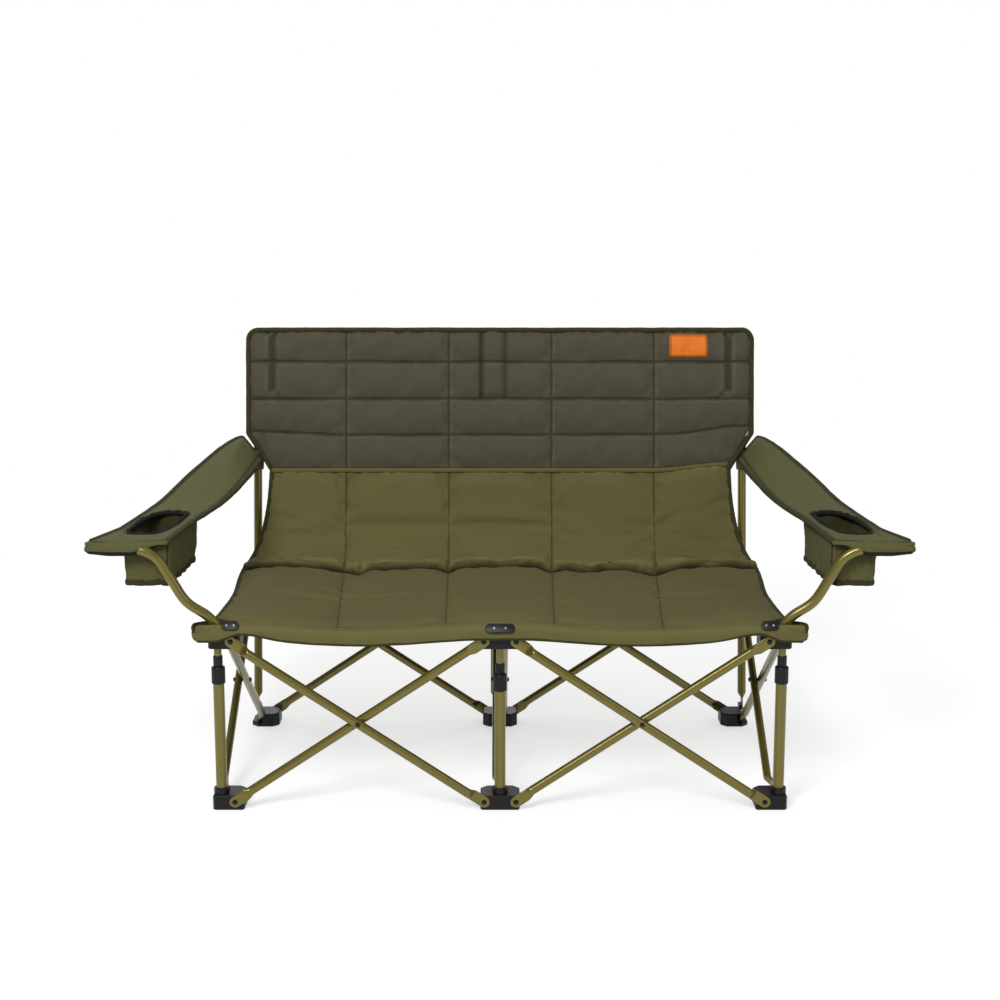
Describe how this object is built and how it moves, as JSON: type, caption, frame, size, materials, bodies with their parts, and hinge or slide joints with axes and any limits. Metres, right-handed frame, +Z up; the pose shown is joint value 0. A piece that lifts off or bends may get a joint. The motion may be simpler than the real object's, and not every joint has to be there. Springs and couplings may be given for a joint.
{
  "type": "folding camping loveseat",
  "caption": "Folding camping loveseat: scissor frame of olive tube, padded sling seat and back, fabric armrests with cup pockets.",
  "frame": {"origin": "middle of the footprint, on the floor", "axes": "+Z up, +X across the chair to the right as the picture shows it, +Y from the front to the back"},
  "size_m": [1.6018, 0.7552, 0.8956],
  "materials": {
    "frame_paint": "satin olive paint",
    "black_plastic": "matt moulded",
    "rivet_steel": "plain rivet",
    "olive_fabric": "padded woven cloth",
    "back_fabric": "quilted woven cloth",
    "arm_fabric": "woven cloth"
  },
  "bodies": {
    "frame_base": {"front_centre_foot": "black_plastic", "front_centre_leg": "frame_paint", "front_centre_sleeve": "black_plastic"},
    "front_left_leg_foot": {"front_left_foot": "black_plastic", "front_left_leg": "frame_paint", "front_left_sleeve": "black_plastic"},
    "front_left_hub_arm": {"front_left_hub": "black_plastic", "left_arm_tube": "frame_paint", "front_left_plate": "black_plastic", "left_armrest": "arm_fabric", "left_cup_pocket": "arm_fabric"},
    "rear_left_foot_base": {"rear_left_foot": "black_plastic"},
    "rear_left_hub_block": {"rear_left_hub": "black_plastic"},
    "rear_left_upright": {"rear_left_post": "frame_paint"},
    "front_right_leg_foot": {"front_right_foot": "black_plastic", "front_right_leg": "frame_paint", "front_right_sleeve": "black_plastic"},
    "front_right_hub_arm": {"front_right_hub": "black_plastic", "right_arm_tube": "frame_paint", "front_right_plate": "black_plastic", "right_armrest": "arm_fabric", "right_cup_pocket": "arm_fabric"},
    "rear_right_foot_base": {"rear_right_foot": "black_plastic"},
    "rear_right_hub_block": {"rear_right_hub": "black_plastic"},
    "rear_right_upright": {"rear_right_post": "frame_paint"},
    "front_centre_hub_rod": {"front_centre_hub": "black_plastic", "front_centre_rod": "frame_paint", "front_centre_plate": "black_plastic"},
    "rear_centre_foot_base": {"rear_centre_foot": "black_plastic"},
    "rear_centre_hub_block": {"rear_centre_hub": "black_plastic", "lower_back": "olive_fabric"},
    "rear_centre_upright": {"rear_centre_post": "frame_paint", "upper_back": "back_fabric"},
    "seat_front_panel": {"seat_front": "olive_fabric"},
    "seat_rear_panel": {"seat_rear": "olive_fabric"},
    "front_left_falling_arm": {"front_left_brace_falling": "frame_paint", "front_left_cross_rivet": "rivet_steel"},
    "front_left_rising_arm": {"front_left_brace_rising": "frame_paint"},
    "front_right_falling_arm": {"front_right_brace_falling": "frame_paint"},
    "front_right_rising_arm": {"front_right_brace_rising": "frame_paint", "front_right_cross_rivet": "rivet_steel"},
    "rear_left_falling_arm": {"rear_left_brace_falling": "frame_paint", "rear_left_cross_rivet": "rivet_steel"},
    "rear_left_rising_arm": {"rear_left_brace_rising": "frame_paint"},
    "rear_right_falling_arm": {"rear_right_brace_falling": "frame_paint"},
    "rear_right_rising_arm": {"rear_right_brace_rising": "frame_paint", "rear_right_cross_rivet": "rivet_steel"},
    "left_side_falling_arm": {"left_side_brace_falling": "frame_paint"},
    "left_side_rising_arm": {"left_side_brace_rising": "frame_paint", "left_side_cross_rivet": "rivet_steel"},
    "centre_side_falling_arm": {"centre_side_brace_falling": "frame_paint"},
    "centre_side_rising_arm": {"centre_side_brace_rising": "frame_paint", "centre_side_cross_rivet": "rivet_steel"},
    "right_side_falling_arm": {"right_side_brace_falling": "frame_paint"},
    "right_side_rising_arm": {"right_side_brace_rising": "frame_paint", "right_side_cross_rivet": "rivet_steel"}
  },
  "joints": [
    {"name": "fold", "type": "hinge", "parent": "frame_base", "child": "front_left_falling_arm", "pos_m": [-0.0315, -0.3581, 0.018], "axis": [0, 1, 0], "range_deg": [0, 52], "deforming": ["upper_back", "lower_back", "seat_front", "seat_rear", "left_armrest", "right_armrest", "left_cup_pocket", "right_cup_pocket"]},
    {"name": "front_left_cross", "type": "hinge", "parent": "front_left_falling_arm", "child": "front_left_rising_arm", "pos_m": [-0.2775, -0.3581, 0.1815], "axis": [0, 1, 0], "range_deg": [-104.5, 0.5]},
    {"name": "front_left_hub_pin", "type": "hinge", "parent": "front_left_falling_arm", "child": "front_left_hub_arm", "pos_m": [-0.5235, -0.3581, 0.345], "axis": [0, 1, 0], "range_deg": [-52.5, 0.5]},
    {"name": "front_centre_hub_pin", "type": "hinge", "parent": "front_left_rising_arm", "child": "front_centre_hub_rod", "pos_m": [-0.0315, -0.3581, 0.345], "axis": [0, 1, 0], "range_deg": [-0.5, 52.5]},
    {"name": "front_left_foot_pin", "type": "hinge", "parent": "front_left_rising_arm", "child": "front_left_leg_foot", "pos_m": [-0.5235, -0.3581, 0.018], "axis": [0, 1, 0], "range_deg": [-0.5, 52.5]},
    {"name": "front_right_foot_swing", "type": "hinge", "parent": "frame_base", "child": "front_right_rising_arm", "pos_m": [0.0315, -0.3581, 0.018], "axis": [0, 1, 0], "range_deg": [-52.5, 0.5]},
    {"name": "front_right_cross", "type": "hinge", "parent": "front_right_rising_arm", "child": "front_right_falling_arm", "pos_m": [0.2775, -0.3581, 0.1815], "axis": [0, 1, 0], "range_deg": [-0.5, 104.5]},
    {"name": "front_right_hub_pin", "type": "hinge", "parent": "front_right_rising_arm", "child": "front_right_hub_arm", "pos_m": [0.5235, -0.3581, 0.345], "axis": [0, 1, 0], "range_deg": [-0.5, 52.5]},
    {"name": "front_right_foot_pin", "type": "hinge", "parent": "front_right_falling_arm", "child": "front_right_leg_foot", "pos_m": [0.5235, -0.3581, 0.018], "axis": [0, 1, 0], "range_deg": [-52.5, 0.5]},
    {"name": "centre_side_swing", "type": "hinge", "parent": "frame_base", "child": "centre_side_rising_arm", "pos_m": [0, -0.3073, 0.018], "axis": [1, 0, 0], "range_deg": [-0.5, 52.5]},
    {"name": "centre_side_cross", "type": "hinge", "parent": "centre_side_rising_arm", "child": "centre_side_falling_arm", "pos_m": [0, -0.0613, 0.1815], "axis": [1, 0, 0], "range_deg": [-104.5, 0.5]},
    {"name": "rear_centre_hub_pin", "type": "hinge", "parent": "centre_side_rising_arm", "child": "rear_centre_hub_block", "pos_m": [0, 0.1847, 0.345], "axis": [1, 0, 0], "range_deg": [-52.5, 0.5]},
    {"name": "rear_centre_foot_pin", "type": "hinge", "parent": "centre_side_falling_arm", "child": "rear_centre_foot_base", "pos_m": [0, 0.1847, 0.018], "axis": [1, 0, 0], "range_deg": [-0.5, 52.5]},
    {"name": "left_side_swing", "type": "hinge", "parent": "front_left_leg_foot", "child": "left_side_rising_arm", "pos_m": [-0.549, -0.3073, 0.018], "axis": [1, 0, 0], "range_deg": [-0.5, 52.5]},
    {"name": "left_side_cross", "type": "hinge", "parent": "left_side_rising_arm", "child": "left_side_falling_arm", "pos_m": [-0.549, -0.0613, 0.1815], "axis": [1, 0, 0], "range_deg": [-104.5, 0.5]},
    {"name": "rear_left_hub_pin", "type": "hinge", "parent": "left_side_rising_arm", "child": "rear_left_hub_block", "pos_m": [-0.549, 0.1847, 0.345], "axis": [1, 0, 0], "range_deg": [-52.5, 0.5]},
    {"name": "rear_left_foot_pin", "type": "hinge", "parent": "left_side_falling_arm", "child": "rear_left_foot_base", "pos_m": [-0.549, 0.1847, 0.018], "axis": [1, 0, 0], "range_deg": [-0.5, 52.5]},
    {"name": "right_side_swing", "type": "hinge", "parent": "front_right_leg_foot", "child": "right_side_rising_arm", "pos_m": [0.549, -0.3073, 0.018], "axis": [1, 0, 0], "range_deg": [-0.5, 52.5]},
    {"name": "right_side_cross", "type": "hinge", "parent": "right_side_rising_arm", "child": "right_side_falling_arm", "pos_m": [0.549, -0.0613, 0.1815], "axis": [1, 0, 0], "range_deg": [-104.5, 0.5]},
    {"name": "rear_right_hub_pin", "type": "hinge", "parent": "right_side_rising_arm", "child": "rear_right_hub_block", "pos_m": [0.549, 0.1847, 0.345], "axis": [1, 0, 0], "range_deg": [-52.5, 0.5]},
    {"name": "rear_right_foot_pin", "type": "hinge", "parent": "right_side_falling_arm", "child": "rear_right_foot_base", "pos_m": [0.549, 0.1847, 0.018], "axis": [1, 0, 0], "range_deg": [-0.5, 52.5]},
    {"name": "rear_left_swing", "type": "hinge", "parent": "rear_centre_foot_base", "child": "rear_left_falling_arm", "pos_m": [-0.0315, 0.2355, 0.018], "axis": [0, 1, 0], "range_deg": [-0.5, 52.5]},
    {"name": "rear_left_cross", "type": "hinge", "parent": "rear_left_falling_arm", "child": "rear_left_rising_arm", "pos_m": [-0.2775, 0.2355, 0.1815], "axis": [0, 1, 0], "range_deg": [-104.5, 0.5]},
    {"name": "rear_right_swing", "type": "hinge", "parent": "rear_centre_foot_base", "child": "rear_right_rising_arm", "pos_m": [0.0315, 0.2355, 0.018], "axis": [0, 1, 0], "range_deg": [-52.5, 0.5]},
    {"name": "rear_right_cross", "type": "hinge", "parent": "rear_right_rising_arm", "child": "rear_right_falling_arm", "pos_m": [0.2775, 0.2355, 0.1815], "axis": [0, 1, 0], "range_deg": [-0.5, 104.5]},
    {"name": "rear_left_post_pin", "type": "hinge", "parent": "rear_left_foot_base", "child": "rear_left_upright", "pos_m": [-0.558, 0.2137, 0.03], "axis": [1, 0, 0], "range_deg": [-0.5, 5]},
    {"name": "rear_centre_post_pin", "type": "hinge", "parent": "rear_centre_foot_base", "child": "rear_centre_upright", "pos_m": [-0.012, 0.2137, 0.03], "axis": [1, 0, 0], "range_deg": [-0.5, 5]},
    {"name": "rear_right_post_pin", "type": "hinge", "parent": "rear_right_foot_base", "child": "rear_right_upright", "pos_m": [0.558, 0.2137, 0.03], "axis": [1, 0, 0], "range_deg": [-0.5, 5]},
    {"name": "seat_front_fold", "type": "hinge", "parent": "front_centre_hub_rod", "child": "seat_front_panel", "pos_m": [0, -0.3363, 0.372], "axis": [1, 0, 0], "range_deg": [-0.5, 79.7]},
    {"name": "seat_rear_fold", "type": "hinge", "parent": "rear_centre_hub_block", "child": "seat_rear_panel", "pos_m": [0, 0.2137, 0.372], "axis": [1, 0, 0], "range_deg": [-79.7, 0.5]}
  ],
  "couplings": [
    {"joint": "front_left_cross", "follows": "fold", "ratio": -2},
    {"joint": "front_left_hub_pin", "follows": "fold", "ratio": -1},
    {"joint": "front_centre_hub_pin", "follows": "fold", "ratio": 1},
    {"joint": "front_left_foot_pin", "follows": "fold", "ratio": 1},
    {"joint": "front_right_foot_swing", "follows": "fold", "ratio": -1},
    {"joint": "front_right_cross", "follows": "fold", "ratio": 2},
    {"joint": "front_right_hub_pin", "follows": "fold", "ratio": 1},
    {"joint": "front_right_foot_pin", "follows": "fold", "ratio": -1},
    {"joint": "centre_side_swing", "follows": "fold", "ratio": 1},
    {"joint": "centre_side_cross", "follows": "fold", "ratio": -2},
    {"joint": "rear_centre_hub_pin", "follows": "fold", "ratio": -1},
    {"joint": "rear_centre_foot_pin", "follows": "fold", "ratio": 1},
    {"joint": "left_side_swing", "follows": "fold", "ratio": 1},
    {"joint": "left_side_cross", "follows": "fold", "ratio": -2},
    {"joint": "rear_left_hub_pin", "follows": "fold", "ratio": -1},
    {"joint": "rear_left_foot_pin", "follows": "fold", "ratio": 1},
    {"joint": "right_side_swing", "follows": "fold", "ratio": 1},
    {"joint": "right_side_cross", "follows": "fold", "ratio": -2},
    {"joint": "rear_right_hub_pin", "follows": "fold", "ratio": -1},
    {"joint": "rear_right_foot_pin", "follows": "fold", "ratio": 1},
    {"joint": "rear_left_swing", "follows": "fold", "ratio": 1},
    {"joint": "rear_left_cross", "follows": "fold", "ratio": -2},
    {"joint": "rear_right_swing", "follows": "fold", "ratio": -1},
    {"joint": "rear_right_cross", "follows": "fold", "ratio": 2},
    {"joint": "rear_left_post_pin", "follows": "fold", "ratio": 0.0866},
    {"joint": "rear_centre_post_pin", "follows": "fold", "ratio": 0.0866},
    {"joint": "rear_right_post_pin", "follows": "fold", "ratio": 0.0866},
    {"joint": "seat_front_fold", "follows": "fold", "ratio": 1.523},
    {"joint": "seat_rear_fold", "follows": "fold", "ratio": -1.523}
  ]
}
